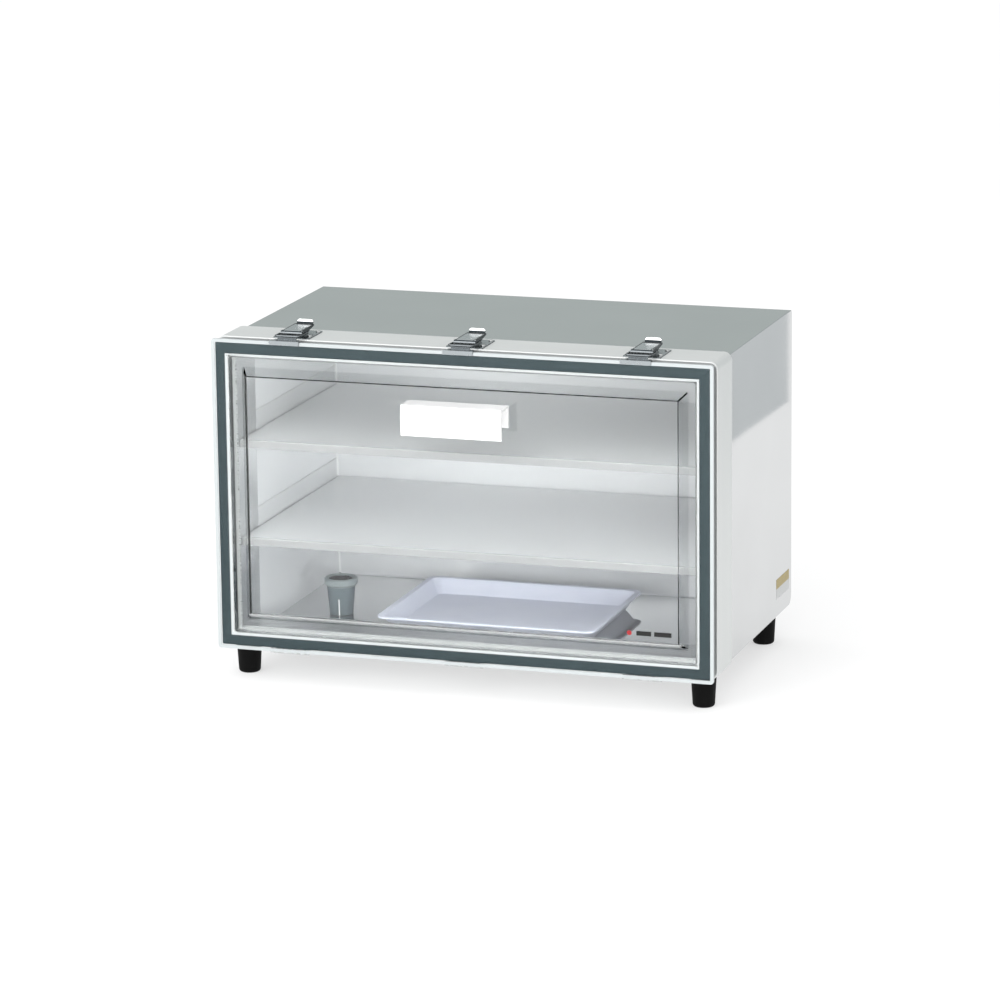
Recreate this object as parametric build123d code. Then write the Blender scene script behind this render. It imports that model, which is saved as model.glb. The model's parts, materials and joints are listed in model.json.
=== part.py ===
from build123d import *
import os
from math import cos, radians, sin

# Stainless desiccator cabinet with a clear drop-down door, in millimetres.
# X runs along the width, Y from the door (negative) to the back, Z up.
# The origin is on the table, under the middle of the cabinet's outline.

# Overall sizes
OVERALL_DEPTH = 328.0
DOOR_WIDTH = 500.0
DOOR_HEIGHT = 307.0
FOOT_DROP = 31.0
HANDLE_PROUD = 24.0

# Reference planes
DOOR_FRONT = -OVERALL_DEPTH / 2 + HANDLE_PROUD
DOOR_BOTTOM = FOOT_DROP
DOOR_TOP = DOOR_BOTTOM + DOOR_HEIGHT
HALF_WIDTH = DOOR_WIDTH / 2
BACK = OVERALL_DEPTH / 2

# Working allowances: how far a cutting solid runs past a face, and a tolerance for finding edges
PAST = 1.0
NEAR = 0.01

# Front frame
GASKET_DEPTH = 13.0
DOOR_SHEET = 3.0
FRAME_FRONT = DOOR_FRONT + DOOR_SHEET + GASKET_DEPTH
FRAME_DEPTH = 50.0
FRAME_BACK = FRAME_FRONT + FRAME_DEPTH
FRAME_SHEET = 1.5
FRAME_CORNER = 8.0
FRAME_FACE = 20.0
FRAME_RETURN = 1.2
FRAME_EDGE_ROUND = 1.2
MITRE_DEPTH = FRAME_FACE

# Body
BODY_STEP = 4.0
BODY_HALF = HALF_WIDTH - BODY_STEP
BODY_BOTTOM = DOOR_BOTTOM + 3.2
BODY_TOP = DOOR_TOP - 4.5
BODY_SHEET = 1.2
BODY_FRONT = FRAME_BACK - 16.0
BODY_HEEL_RADIUS = 10.0
BODY_CREST_RADIUS = 3.5
BODY_EDGE_ROUND = 0.72
LINER_FACE = 231.4
LINER_SHEET = 1.0
LINER_FRONT = FRAME_FRONT + 4.0
LINER_BACK = BACK - 9.5
BACK_LINER_LIFT = 0.5

# Shelves and their rails
SHELF_SHEET = 1.0
SHELF_LIP = 8.0
SHELF_ROUND = 1.2
SHELF_HALF = 229.5
SHELF_FRONT = FRAME_FRONT + 3.0
SHELF_BACK = LINER_BACK - 2.0
SHELF_TOPS = {"lower": DOOR_BOTTOM + 108.0, "upper": DOOR_BOTTOM + 205.0}
RAIL_SHEET = 1.0
RAIL_ROUND = 0.8
RAIL_LEG = 15.0
RAIL_HEIGHT = 27.0
RAIL_FRONT = FRAME_BACK
RAIL_BACK = LINER_BACK - 6.0

# Door pan
DOOR_CORNER = 3.0
GUTTER_INSET = 14.4
GUTTER_DEPTH = 13.0
SLOPE_FOOT_X = 25.2
SLOPE_FOOT_Z = 26.6
SLOPE_RUN = 8.4
SLOPE_WALL = 3.5
GASKET_INSET = 3.3
GASKET_WIDTH = 11.0
GASKET_CORNER = 1.2

# Handle
HANDLE_WIDTH = 100.0
HANDLE_TOP = DOOR_BOTTOM + 258.0
HANDLE_WALL = 2.5
HANDLE_GRIP = 30.0
HANDLE_BACKING = 21.4
HANDLE_SCREW_SPACING = 60.0
HANDLE_SCREW_RADIUS = 1.5
HANDLE_SCREW_BITE = 2.0
HANDLE_HEAD_HEIGHT = 2.0
HANDLE_HEAD_ROUND = 0.8
HANDLE_ROUND = 1.0

# Hinges
HINGE_CENTRES = {"left": -178.0, "centre": 0.0, "right": 178.0}
HINGE_WIDTH = 36.0
HINGE_Y = DOOR_FRONT + 10.0
HINGE_Z = DOOR_BOTTOM - 2.0
KNUCKLE_RADIUS = 2.0
HINGE_PIN_RADIUS = 1.0
RUNNING_GAP = 0.05
HINGE_LEAF = 1.0
LEAF_LENGTH = 30.0
KNUCKLE_GAP = 0.3
HINGE_SCREW_RADIUS = 1.25
HINGE_SCREW_Y = HINGE_Y + 20.0
KNUCKLE_RELIEF = 0.5
LEAF_TAB_GAP = 0.2

# Screw heads, as shares of the shank radius
HEAD_UP_RADIUS = 2.0
HEAD_DOWN_RADIUS = 1.8
HEAD_ROUND = 0.5

# Latches: offsets are measured back from the door front and up from the frame top
LATCH_CENTRES = {"left": -175.0, "centre": 0.0, "right": 175.0}
LATCH_BASE_HALF = 18.5
LATCH_BASE_FRONT = 18.5
LATCH_BASE_BACK = 58.0
LATCH_BASE_SHEET = 0.8
LATCH_BASE_CORNER = 2.0
LEVER_PIVOT = (22.5, 4.2)
BAIL_PIVOT = (33.5, 3.2)
BAIL_BAR = (8.3, 4.2)
LEVER_HALF = 9.5
LEVER_SHEET = 1.2
NOSE_RADIUS = 3.1
CHEEK_GAP = 0.1
CHEEK_SHEET = 1.2
CHEEK_RADIUS = 3.2
CHEEK_HEEL = 2.0
LATCH_RIVET_RADIUS = 1.2
LATCH_RIVET_HEAD_RADIUS = 2.0
LATCH_RIVET_HEAD = 0.5
RIVET_STICKS_IN = 0.4
BAIL_HALF = 12.4
BAIL_RADIUS = 0.9
BAIL_BEND = 2.6
BAIL_END_BEND = 1.4
KEEPER_HALF = 15.0
KEEPER_LIP_HEIGHT = 3.0
KEEPER_SHEET = 1.0
KEEPER_FRONT_FLANGE = 3.2
KEEPER_BACK_FLANGE = 3.0
LATCH_SCREW_RADIUS = 1.25
LATCH_SCREW_SIDE = 15.6
LATCH_SCREW_BACKS = (29.0, 52.5)
SMALL_SCREW_LENGTH = 5.0

# The lever's underside and its lifted tip, as (back, up) offsets
LEVER_END = 57.5
LEVER_END_THICKNESS = 1.6
LEVER_UNDERSIDE = [(48.0, 4.3), (38.0, 1.6), (26.0, 1.6)]
LEVER_TIP = [
    (55.5, 6.1),
    (58.2, 6.4),
    (60.2, 8.4),
    (60.8, 10.6),
    (59.7, 11.1),
    (58.8, 9.2),
    (57.2, 7.6),
    (55.5, 7.3),
]
LEVER_TIP_HALF = 8.0
LEVER_TIP_ROUND = 2.5

# Feet
FOOT_FRONT_X = 231.0
FOOT_BACK_X = 226.0
FOOT_FRONT_Y = DOOR_FRONT + 34.0
FOOT_BACK_Y = DOOR_FRONT + 272.0
FOOT_TOP_RADIUS = 12.4
FOOT_BASE_RADIUS = 10.6
FOOT_EDGE_ROUND = 3.0
FOOT_RECESS_RADIUS = 5.5
FOOT_RECESS_DEPTH = 12.0
FOOT_SCREW_RADIUS = 2.0
FOOT_NUT_FLATS = 7.0
FOOT_NUT_HEIGHT = 2.2
FOOT_SCREW_TAIL = 0.6

# Tray and cup on the cabinet floor
FLOOR = BODY_BOTTOM + BODY_SHEET
TRAY_WIDTH = 224.0
TRAY_DEPTH = 170.0
TRAY_HEIGHT = 16.0
TRAY_CENTRE = (-4.0, DOOR_FRONT + 165.0)
TRAY_WALL = 1.8
TRAY_TAPER = 9.0
TRAY_RIM = 3.5
TRAY_CORNER = 9.0
CUP_CENTRE = (-173.5, DOOR_FRONT + 142.0)
CUP_HEIGHT = 37.0
CUP_BASE_RADIUS = 11.6
CUP_NECK_RADIUS = 14.1
CUP_BAND_RADIUS = 16.6
CUP_BAND_HEIGHT = 8.0
CUP_WALL = 1.4
CUP_BASE_ROUND = 0.6
CUP_BAND_STEP = 1.6
CUP_BAND_ROUND = 0.8
CUP_LIP = 1.0
CUP_MOUTH_FLARE = 0.6
CUP_SLIT_WIDTH = 1.4
CUP_SLIT_HEIGHT = 17.0
CUP_FILL_DROP = 5.5
CUP_FILL_GAP = 0.1
CUP_SLIT_TURN = 9.0
CUP_GRID_THICKNESS = 1.0
CUP_GRID_HOLE = 0.8
CUP_GRID_RINGS = ((4.0, 6), (8.0, 12))

# Printed badge: a dot and two bars
BADGE_THICKNESS = 0.2
BADGE_HEIGHT = DOOR_BOTTOM + 45.0
BADGE_DOT_X = 167.5
BADGE_DOT_RADIUS = 2.4
BADGE_BARS = ((174.5, 189.0), (192.0, 209.0))
BADGE_BAR_HALF = 2.2

# Rating label, low on the right side
LABEL_THICKNESS = 0.2
LABEL_FRONT = DOOR_FRONT + 246.0
LABEL_BACK = DOOR_FRONT + 294.0
LABEL_LOW = DOOR_BOTTOM + 21.0
LABEL_HIGH = DOOR_BOTTOM + 41.0


def block(x0, x1, y0, y1, z0, z1):
    """A box between two corners."""
    centre = Pos((x0 + x1) / 2, (y0 + y1) / 2, (z0 + z1) / 2)
    return centre * Box(x1 - x0, y1 - y0, z1 - z0)


def rod_x(x0, x1, y, z, radius):
    """A cylinder along X."""
    return Pos((x0 + x1) / 2, y, z) * Rot(0, 90, 0) * Cylinder(radius, x1 - x0)


def rod_y(x, y0, y1, z, radius):
    """A cylinder along Y."""
    return Pos(x, (y0 + y1) / 2, z) * Rot(90, 0, 0) * Cylinder(radius, y1 - y0)


def rod_z(x, y, z0, z1, radius):
    """A cylinder along Z."""
    return Pos(x, y, (z0 + z1) / 2) * Cylinder(radius, z1 - z0)


def prism_x(outline, x0, x1):
    """An outline of (y, z) points, extruded along X."""
    wire = Polyline(*[(x0, y, z) for y, z in outline], close=True)
    return extrude(make_face(wire), amount=x1 - x0, dir=(1, 0, 0))


def prism_y(outline, y0, y1):
    """An outline of (x, z) points, extruded along Y."""
    wire = Polyline(*[(x, y0, z) for x, z in outline], close=True)
    return extrude(make_face(wire), amount=y1 - y0, dir=(0, 1, 0))


def upright_slab(half, z0, z1, y0, y1, corner):
    """A slab in the XZ plane with round corners, from y0 to y1."""
    outline = Plane.XZ * RectangleRounded(2 * half, z1 - z0, corner)
    return extrude(Pos(0, y0, (z0 + z1) / 2) * outline, amount=y1 - y0, dir=(0, 1, 0))


def door_inset(inset_x, inset_z):
    """Half width and the two heights of a rectangle set in from the door's edge."""
    return HALF_WIDTH - inset_x, DOOR_BOTTOM + inset_z, DOOR_TOP - inset_z


def tapered_slab(inset_x, inset_z, y_wide, y_narrow, slope):
    """A solid that narrows towards the front from an upright rectangle, by slope on every side."""
    ends = []
    for y in (y_wide, y_narrow):
        narrowing = slope * (y_wide - y)
        half, low, high = door_inset(inset_x + narrowing, inset_z + narrowing)
        outline = Plane.XZ * Rectangle(2 * half, high - low)
        ends.append(Pos(0, y, (low + high) / 2) * outline)
    return loft(ends, ruled=True)


def door_corners(inset):
    """The corners of a rectangle set in from the door's edge, as (x, z), from the lower left round."""
    half, low, high = door_inset(inset, inset)
    return [(-half, low), (half, low), (half, high), (-half, high)]


def mitred(ring, side):
    """The part of a door-shaped ring that lies in one side's mitre."""
    outer = door_corners(0)
    inner = door_corners(MITRE_DEPTH)
    start = ("bottom", "right", "top", "left").index(side)
    end = (start + 1) % len(outer)
    mitre = [outer[start], outer[end], inner[end], inner[start]]
    return ring & prism_y(mitre, FRAME_FRONT - PAST, FRAME_BACK + PAST)


def front_frame():
    """Four channel rails, welded at their mitres into the frame round the opening."""
    outer = upright_slab(HALF_WIDTH, DOOR_BOTTOM, DOOR_TOP, FRAME_FRONT, FRAME_BACK, FRAME_CORNER)
    front_edges = outer.faces().sort_by(Axis.Y)[0].edges()
    outer = fillet(front_edges, FRAME_EDGE_ROUND)
    hollow = upright_slab(
        HALF_WIDTH - FRAME_SHEET,
        DOOR_BOTTOM + FRAME_SHEET,
        DOOR_TOP - FRAME_SHEET,
        FRAME_FRONT + FRAME_SHEET,
        FRAME_BACK - FRAME_SHEET,
        FRAME_CORNER - FRAME_SHEET,
    )
    inner = HALF_WIDTH - FRAME_FACE
    low = DOOR_BOTTOM + FRAME_FACE
    high = DOOR_TOP - FRAME_FACE
    opening = block(-inner, inner, FRAME_FRONT - PAST, FRAME_BACK + PAST, low, high)
    lining_half = inner + FRAME_RETURN
    lining = block(
        -lining_half,
        lining_half,
        FRAME_FRONT,
        FRAME_BACK - FRAME_SHEET,
        low - FRAME_RETURN,
        high + FRAME_RETURN,
    )
    cut_from = FRAME_BACK - 3 * FRAME_SHEET
    back_hole = block(-BODY_HALF, BODY_HALF, cut_from, FRAME_BACK + PAST, BODY_BOTTOM, BODY_TOP)
    skin = outer - hollow - back_hole
    ring = skin + (lining & outer) - opening
    return {side: mitred(ring, side) for side in ("top", "bottom", "left", "right")}


def far_edge(solid, up):
    """The rear edge along X that lies highest, or lowest where up is -1."""
    return max(solid.edges().filter_by(Axis.X), key=lambda edge: edge.center().Y + up * edge.center().Z)


def round_rear(box, heel_radius, crest_radius):
    """Rounds a box's lower and upper rear edges."""
    rounded = fillet(far_edge(box, -1), heel_radius)
    return fillet(far_edge(rounded, 1), crest_radius)


def side_panel(sign):
    """A flat side with a round lower rear corner."""
    panel = block(0, BODY_SHEET, BODY_FRONT, BACK, BODY_BOTTOM, BODY_TOP)
    panel = round_rear(panel, BODY_HEEL_RADIUS, BODY_CREST_RADIUS)
    outer = panel.faces().sort_by(Axis.X)[-1]
    rim = [edge for edge in outer.edges() if edge.center().Y > BODY_FRONT + PAST]
    panel = fillet(rim, BODY_EDGE_ROUND)
    panel = Pos(BODY_HALF - BODY_SHEET, 0, 0) * panel
    return panel if sign > 0 else mirror(panel, Plane.YZ)


def wrap_section(y0, y1, z0, z1):
    """The body's wrap of bent sheet, cut down to one panel."""
    half = BODY_HALF - BODY_SHEET
    solid = block(-half, half, BODY_FRONT, BACK, BODY_BOTTOM, BODY_TOP)
    solid = round_rear(solid, BODY_HEEL_RADIUS, BODY_CREST_RADIUS)
    core = block(-half, half, BODY_FRONT - PAST, BACK - BODY_SHEET, FLOOR, BODY_TOP - BODY_SHEET)
    core = round_rear(core, BODY_HEEL_RADIUS - BODY_SHEET, BODY_CREST_RADIUS - BODY_SHEET)
    return (solid - core) & block(-half, half, y0, y1, z0, z1)


def body_panels():
    """Top, back and bottom panels of the body, with the foot screws' holes."""
    heel = BACK - BODY_HEEL_RADIUS
    crest = BACK - BODY_CREST_RADIUS
    low = BODY_BOTTOM - PAST
    high = BODY_TOP + PAST
    middle = (BODY_BOTTOM + BODY_TOP) / 2
    top = wrap_section(BODY_FRONT, crest, middle, high)
    bottom = wrap_section(BODY_FRONT, heel, low, middle)
    for x in (-FOOT_BACK_X, FOOT_BACK_X):
        bottom -= rod_z(x, FOOT_BACK_Y, low, FLOOR + PAST, FOOT_SCREW_RADIUS)
    whole = wrap_section(heel, BACK + PAST, low, high)
    back = whole - block(-BODY_HALF, BODY_HALF, heel - PAST, crest, middle, high)
    return {"top_panel": top, "bottom_panel": bottom, "back_panel": back}


def side_liner(sign):
    """The inner side wall."""
    rear = BACK - BODY_HEEL_RADIUS
    outer = LINER_FACE + LINER_SHEET
    liner = block(LINER_FACE, outer, LINER_FRONT, rear, FLOOR, BODY_TOP - BODY_SHEET)
    return liner if sign > 0 else mirror(liner, Plane.YZ)


def back_liner():
    """The inner back wall, which stands clear of the heel's bend."""
    half = LINER_FACE + LINER_SHEET
    low = FLOOR + BACK_LINER_LIFT
    return block(-half, half, LINER_BACK, LINER_BACK + LINER_SHEET, low, BODY_TOP - BODY_SHEET)


def shelf_rail(sign, shelf_top):
    """An angle that one side of a shelf rests on."""
    foot = shelf_top - SHELF_LIP
    outer = LINER_FACE
    leg = block(outer - RAIL_LEG, outer, RAIL_FRONT, RAIL_BACK, foot - RAIL_SHEET, foot)
    wall = block(outer - RAIL_SHEET, outer, RAIL_FRONT, RAIL_BACK, foot - RAIL_SHEET, foot + RAIL_HEIGHT)
    rail = leg + wall
    bend = rail.edges().filter_by(Axis.Y).filter_by_position(Axis.X, outer - NEAR, outer + NEAR)
    rail = fillet(bend.sort_by(Axis.Z)[0], RAIL_ROUND)
    return rail if sign > 0 else mirror(rail, Plane.YZ)


def shelf(shelf_top):
    """A sheet shelf with its four edges turned down."""
    y0 = SHELF_FRONT
    y1 = SHELF_BACK
    outer = block(-SHELF_HALF, SHELF_HALF, y0, y1, shelf_top - SHELF_LIP, shelf_top)
    outer = fillet(outer.faces().sort_by(Axis.Z)[-1].edges(), SHELF_ROUND)
    inner = block(
        -SHELF_HALF + SHELF_SHEET,
        SHELF_HALF - SHELF_SHEET,
        y0 + SHELF_SHEET,
        y1 - SHELF_SHEET,
        shelf_top - SHELF_LIP - PAST,
        shelf_top - SHELF_SHEET,
    )
    return outer - inner


def door_panel():
    """A clear sheet: flat margin, gutter, sloped walls and a raised centre."""
    y0 = DOOR_FRONT
    gutter_back = y0 + GUTTER_DEPTH
    margin = upright_slab(HALF_WIDTH, DOOR_BOTTOM, DOOR_TOP, y0, y0 + DOOR_SHEET, DOOR_CORNER)
    half, low, high = door_inset(GUTTER_INSET, GUTTER_INSET)
    pan = upright_slab(half, low, high, y0, gutter_back, DOOR_CORNER)
    wall = GUTTER_INSET + DOOR_SHEET
    half, low, high = door_inset(wall, wall)
    pocket = upright_slab(half, low, high, y0 - PAST, gutter_back - DOOR_SHEET, DOOR_CORNER / 2)
    slope = SLOPE_RUN / GUTTER_DEPTH
    raised = tapered_slab(SLOPE_FOOT_X, SLOPE_FOOT_Z, gutter_back, y0, slope)
    shift = SLOPE_WALL - slope * PAST
    inset_x = SLOPE_FOOT_X + shift
    inset_z = SLOPE_FOOT_Z + shift
    cavity = tapered_slab(inset_x, inset_z, gutter_back + PAST, y0 + DOOR_SHEET, slope)
    panel = margin + pan - pocket + raised - cavity
    for x in (-HANDLE_SCREW_SPACING / 2, HANDLE_SCREW_SPACING / 2):
        panel -= rod_y(x, y0 - PAST, y0 + DOOR_SHEET + PAST, handle_screw_height(), HANDLE_SCREW_RADIUS)
    return panel


def door_gasket():
    """A square rubber section behind the door's margin."""
    outer = GASKET_INSET
    inner = GASKET_INSET + GASKET_WIDTH
    y0 = DOOR_FRONT + DOOR_SHEET
    half, low, high = door_inset(outer, outer)
    ring = upright_slab(half, low, high, y0, y0 + GASKET_DEPTH, GASKET_CORNER)
    half, low, high = door_inset(inner, inner)
    return ring - upright_slab(half, low, high, y0 - PAST, y0 + GASKET_DEPTH + PAST, DOOR_CORNER)


def handle_screw_height():
    """Height of the handle's screws, in the middle of its back plate."""
    return HANDLE_TOP - HANDLE_BACKING / 2


def door_handle():
    """A hooked pull: back plate, top web and a longer grip plate in front."""
    half = HANDLE_WIDTH / 2
    front = DOOR_FRONT - HANDLE_PROUD
    outline = [
        (DOOR_FRONT, HANDLE_TOP - HANDLE_BACKING),
        (DOOR_FRONT, HANDLE_TOP),
        (front, HANDLE_TOP),
        (front, HANDLE_TOP - HANDLE_GRIP),
        (front + HANDLE_WALL, HANDLE_TOP - HANDLE_GRIP),
        (front + HANDLE_WALL, HANDLE_TOP - HANDLE_WALL),
        (DOOR_FRONT - HANDLE_WALL, HANDLE_TOP - HANDLE_WALL),
        (DOOR_FRONT - HANDLE_WALL, HANDLE_TOP - HANDLE_BACKING),
    ]
    handle = prism_x(outline, -half, half)
    crest = handle.edges().filter_by(Axis.X).filter_by_position(Axis.Y, front - NEAR, front + NEAR)
    handle = fillet(crest, HANDLE_ROUND)
    for x in (-HANDLE_SCREW_SPACING / 2, HANDLE_SCREW_SPACING / 2):
        bite = DOOR_FRONT - HANDLE_SCREW_BITE
        handle -= rod_y(x, bite, DOOR_FRONT + PAST, handle_screw_height(), HANDLE_SCREW_RADIUS)
    return handle


def handle_screws():
    """Pan screws that come through the door from inside."""
    screws = []
    for x in (-HANDLE_SCREW_SPACING / 2, HANDLE_SCREW_SPACING / 2):
        z = handle_screw_height()
        seat = DOOR_FRONT + DOOR_SHEET
        shank = rod_y(x, DOOR_FRONT - HANDLE_SCREW_BITE, seat, z, HANDLE_SCREW_RADIUS)
        head = rod_y(x, seat, seat + HANDLE_HEAD_HEIGHT, z, 2 * HANDLE_SCREW_RADIUS)
        head = fillet(head.edges().sort_by(Axis.Y)[-1], HANDLE_HEAD_ROUND)
        screws.append(shank + head)
    return Compound(children=screws)


def badge_marks():
    """A plain printed dot and two bars."""
    y0 = DOOR_FRONT - BADGE_THICKNESS
    low = BADGE_HEIGHT - BADGE_BAR_HALF
    high = BADGE_HEIGHT + BADGE_BAR_HALF
    dot = rod_y(BADGE_DOT_X, y0, DOOR_FRONT, BADGE_HEIGHT, BADGE_DOT_RADIUS)
    bars = [block(x0, x1, y0, DOOR_FRONT, low, high) for x0, x1 in BADGE_BARS]
    return dot, Compound(children=bars)


def hinge_body_leaf(centre):
    """The fixed leaf under the frame, with the two outer knuckles."""
    half = HINGE_WIDTH / 2
    third = HINGE_WIDTH / 6
    top = DOOR_BOTTOM
    leaf = block(-half, half, HINGE_Y, HINGE_Y + LEAF_LENGTH, top - HINGE_LEAF, top)
    reach = HINGE_Y + KNUCKLE_RADIUS + KNUCKLE_RELIEF
    deep = top - 3 * KNUCKLE_RADIUS
    notch = block(-third, third, HINGE_Y - 2 * KNUCKLE_RADIUS, reach, deep, top + PAST)
    for x0, x1 in ((-half, -third), (third, half)):
        leaf += rod_x(x0, x1, HINGE_Y, HINGE_Z, KNUCKLE_RADIUS)
    leaf -= notch
    leaf -= rod_x(-half - PAST, half + PAST, HINGE_Y, HINGE_Z, HINGE_PIN_RADIUS)
    for x in (-half / 2, half / 2):
        leaf -= rod_z(x, HINGE_SCREW_Y, top - HINGE_LEAF - PAST, top + PAST, HINGE_SCREW_RADIUS)
    return Pos(centre, 0, 0) * leaf


def hinge_door_leaf(centre):
    """The moving leaf, bonded round the door's bottom edge, with the middle knuckle."""
    half = HINGE_WIDTH / 2
    third = HINGE_WIDTH / 6 - KNUCKLE_GAP
    top = DOOR_BOTTOM
    reach = HINGE_Y - KNUCKLE_RADIUS - KNUCKLE_GAP
    leaf = block(-half, half, DOOR_FRONT, reach, top - HINGE_LEAF, top)
    leaf += block(-third, third, reach - PAST, HINGE_Y, top - HINGE_LEAF, top)
    leaf += rod_x(-third, third, HINGE_Y, HINGE_Z, KNUCKLE_RADIUS)
    tab = DOOR_FRONT + DOOR_SHEET
    tab_top = top + GASKET_INSET - LEAF_TAB_GAP
    leaf += block(-half, half, tab, tab + HINGE_LEAF, top - HINGE_LEAF, tab_top)
    leaf -= rod_x(-half, half, HINGE_Y, HINGE_Z, HINGE_PIN_RADIUS + RUNNING_GAP)
    return Pos(centre, 0, 0) * leaf


def hinge_pins():
    """One pin through each hinge."""
    half = HINGE_WIDTH / 2
    return Compound(
        children=[
            rod_x(centre - half, centre + half, HINGE_Y, HINGE_Z, HINGE_PIN_RADIUS)
            for centre in HINGE_CENTRES.values()
        ]
    )


def screw_up(x, y, seat, length, radius):
    """A pan screw with its head below the seat, pointing up."""
    head = rod_z(x, y, seat - radius, seat, HEAD_UP_RADIUS * radius)
    head = fillet(head.edges().sort_by(Axis.Z)[0], HEAD_ROUND * radius)
    return head + rod_z(x, y, seat, seat + length, radius)


def screw_down(x, y, seat, length, radius):
    """A pan screw with its head on top of the seat, pointing down."""
    head = rod_z(x, y, seat, seat + radius, HEAD_DOWN_RADIUS * radius)
    head = fillet(head.edges().sort_by(Axis.Z)[-1], HEAD_ROUND * radius)
    return head + rod_z(x, y, seat - length, seat, radius)


def hinge_screw_points():
    """Places of the fixed leaves' screws."""
    offset = HINGE_WIDTH / 4
    return [(centre + side * offset, HINGE_SCREW_Y) for centre in HINGE_CENTRES.values() for side in (-1, 1)]


def hinge_screws():
    """Screws that hold the fixed leaves to the frame's bottom rail."""
    seat = DOOR_BOTTOM - HINGE_LEAF
    screws = [screw_up(x, y, seat, SMALL_SCREW_LENGTH, HINGE_SCREW_RADIUS) for x, y in hinge_screw_points()]
    return Compound(children=screws)


def latch_point(offset):
    """Turns a latch's (back, up) offset into Y and Z."""
    return DOOR_FRONT + offset[0], DOOR_TOP + offset[1]


def latch_screw_points():
    """Places of the latch bases' screws."""
    points = []
    for centre in LATCH_CENTRES.values():
        for side in (-1, 1):
            for back in LATCH_SCREW_BACKS:
                points.append((centre + side * LATCH_SCREW_SIDE, DOOR_FRONT + back))
    return points


def latch_base(centre):
    """A screwed plate with two cheeks that carry the lever."""
    y, z = latch_point(LEVER_PIVOT)
    y0 = DOOR_FRONT + LATCH_BASE_FRONT
    y1 = DOOR_FRONT + LATCH_BASE_BACK
    plate = block(-LATCH_BASE_HALF, LATCH_BASE_HALF, y0, y1, DOOR_TOP, DOOR_TOP + LATCH_BASE_SHEET)
    plate = fillet(plate.edges().filter_by(Axis.Z), LATCH_BASE_CORNER)
    inner = LEVER_HALF + CHEEK_GAP
    for x0, x1 in ((-inner - CHEEK_SHEET, -inner), (inner, inner + CHEEK_SHEET)):
        plate += block(x0, x1, y - CHEEK_RADIUS, y + CHEEK_RADIUS + CHEEK_HEEL, DOOR_TOP, z)
        plate += rod_x(x0, x1, y, z, CHEEK_RADIUS)
    plate -= rod_x(-LATCH_BASE_HALF, LATCH_BASE_HALF, y, z, LATCH_RIVET_RADIUS)
    for x, screw_y in latch_screw_points():
        if abs(x - centre) < LATCH_BASE_HALF:
            plate -= rod_z(x - centre, screw_y, DOOR_TOP - PAST, DOOR_TOP + 2 * PAST, LATCH_SCREW_RADIUS)
    return Pos(centre, 0, 0) * plate


def latch_rivets(centre):
    """Two short rivets that the lever turns on."""
    y, z = latch_point(LEVER_PIVOT)
    rivets = []
    for side in (-1, 1):
        inner = side * (LEVER_HALF - LEVER_SHEET - RIVET_STICKS_IN)
        outer = side * (LEVER_HALF + CHEEK_GAP + CHEEK_SHEET)
        head = outer + side * LATCH_RIVET_HEAD
        shank = rod_x(min(inner, outer), max(inner, outer), y, z, LATCH_RIVET_RADIUS)
        rivets.append(shank + rod_x(min(outer, head), max(outer, head), y, z, LATCH_RIVET_HEAD_RADIUS))
    return Pos(centre, 0, 0) * Compound(children=rivets)


def lever_outline():
    """The lever's side view, as (back, up) offsets, without its lifted tip."""
    nose_back, nose_up = LEVER_PIVOT
    crown = nose_up + NOSE_RADIUS
    nose = [
        (nose_back - NOSE_RADIUS * cos(radians(angle)), nose_up + NOSE_RADIUS * sin(radians(angle)))
        for angle in range(-50, 91, 10)
    ]
    end = [(LEVER_END, crown), (LEVER_END, crown - LEVER_END_THICKNESS)]
    return nose + end + LEVER_UNDERSIDE


def latch_lever(centre):
    """A folded lever: crowned top, two side flanges and a lifted finger tip."""
    outline = [latch_point(offset) for offset in lever_outline()]
    lever = prism_x(outline, -LEVER_HALF, LEVER_HALF)
    inner = LEVER_HALF - LEVER_SHEET
    crown = LEVER_PIVOT[1] + NOSE_RADIUS - LEVER_SHEET
    nose_inner = NOSE_RADIUS - LEVER_SHEET
    y, z = latch_point(LEVER_PIVOT)
    hollow = rod_x(-inner, inner, y, z, nose_inner)
    y0, z1 = latch_point((LEVER_PIVOT[0] - nose_inner, crown))
    hollow += block(-inner, inner, y, y + LEVER_END, DOOR_TOP - PAST, z1)
    hollow += block(-inner, inner, y0, y + PAST, DOOR_TOP - PAST, z)
    lever -= hollow
    lip = prism_x([latch_point(offset) for offset in LEVER_TIP], -LEVER_TIP_HALF, LEVER_TIP_HALF)
    tip_height = DOOR_TOP + LEVER_TIP[3][1]
    corners = [edge for edge in lip.edges() if edge.center().Z > tip_height]
    corners = [edge for edge in corners if abs(edge.center().X) > LEVER_TIP_HALF - PAST]
    lip = fillet(corners, LEVER_TIP_ROUND)
    lever += lip
    lever -= rod_x(-LEVER_HALF, LEVER_HALF, y, z, LATCH_RIVET_RADIUS + RUNNING_GAP)
    bail_y, bail_z = latch_point(BAIL_PIVOT)
    lever -= rod_x(-LEVER_HALF, LEVER_HALF, bail_y, bail_z, BAIL_RADIUS + RUNNING_GAP)
    return Pos(centre, 0, 0) * lever


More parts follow.
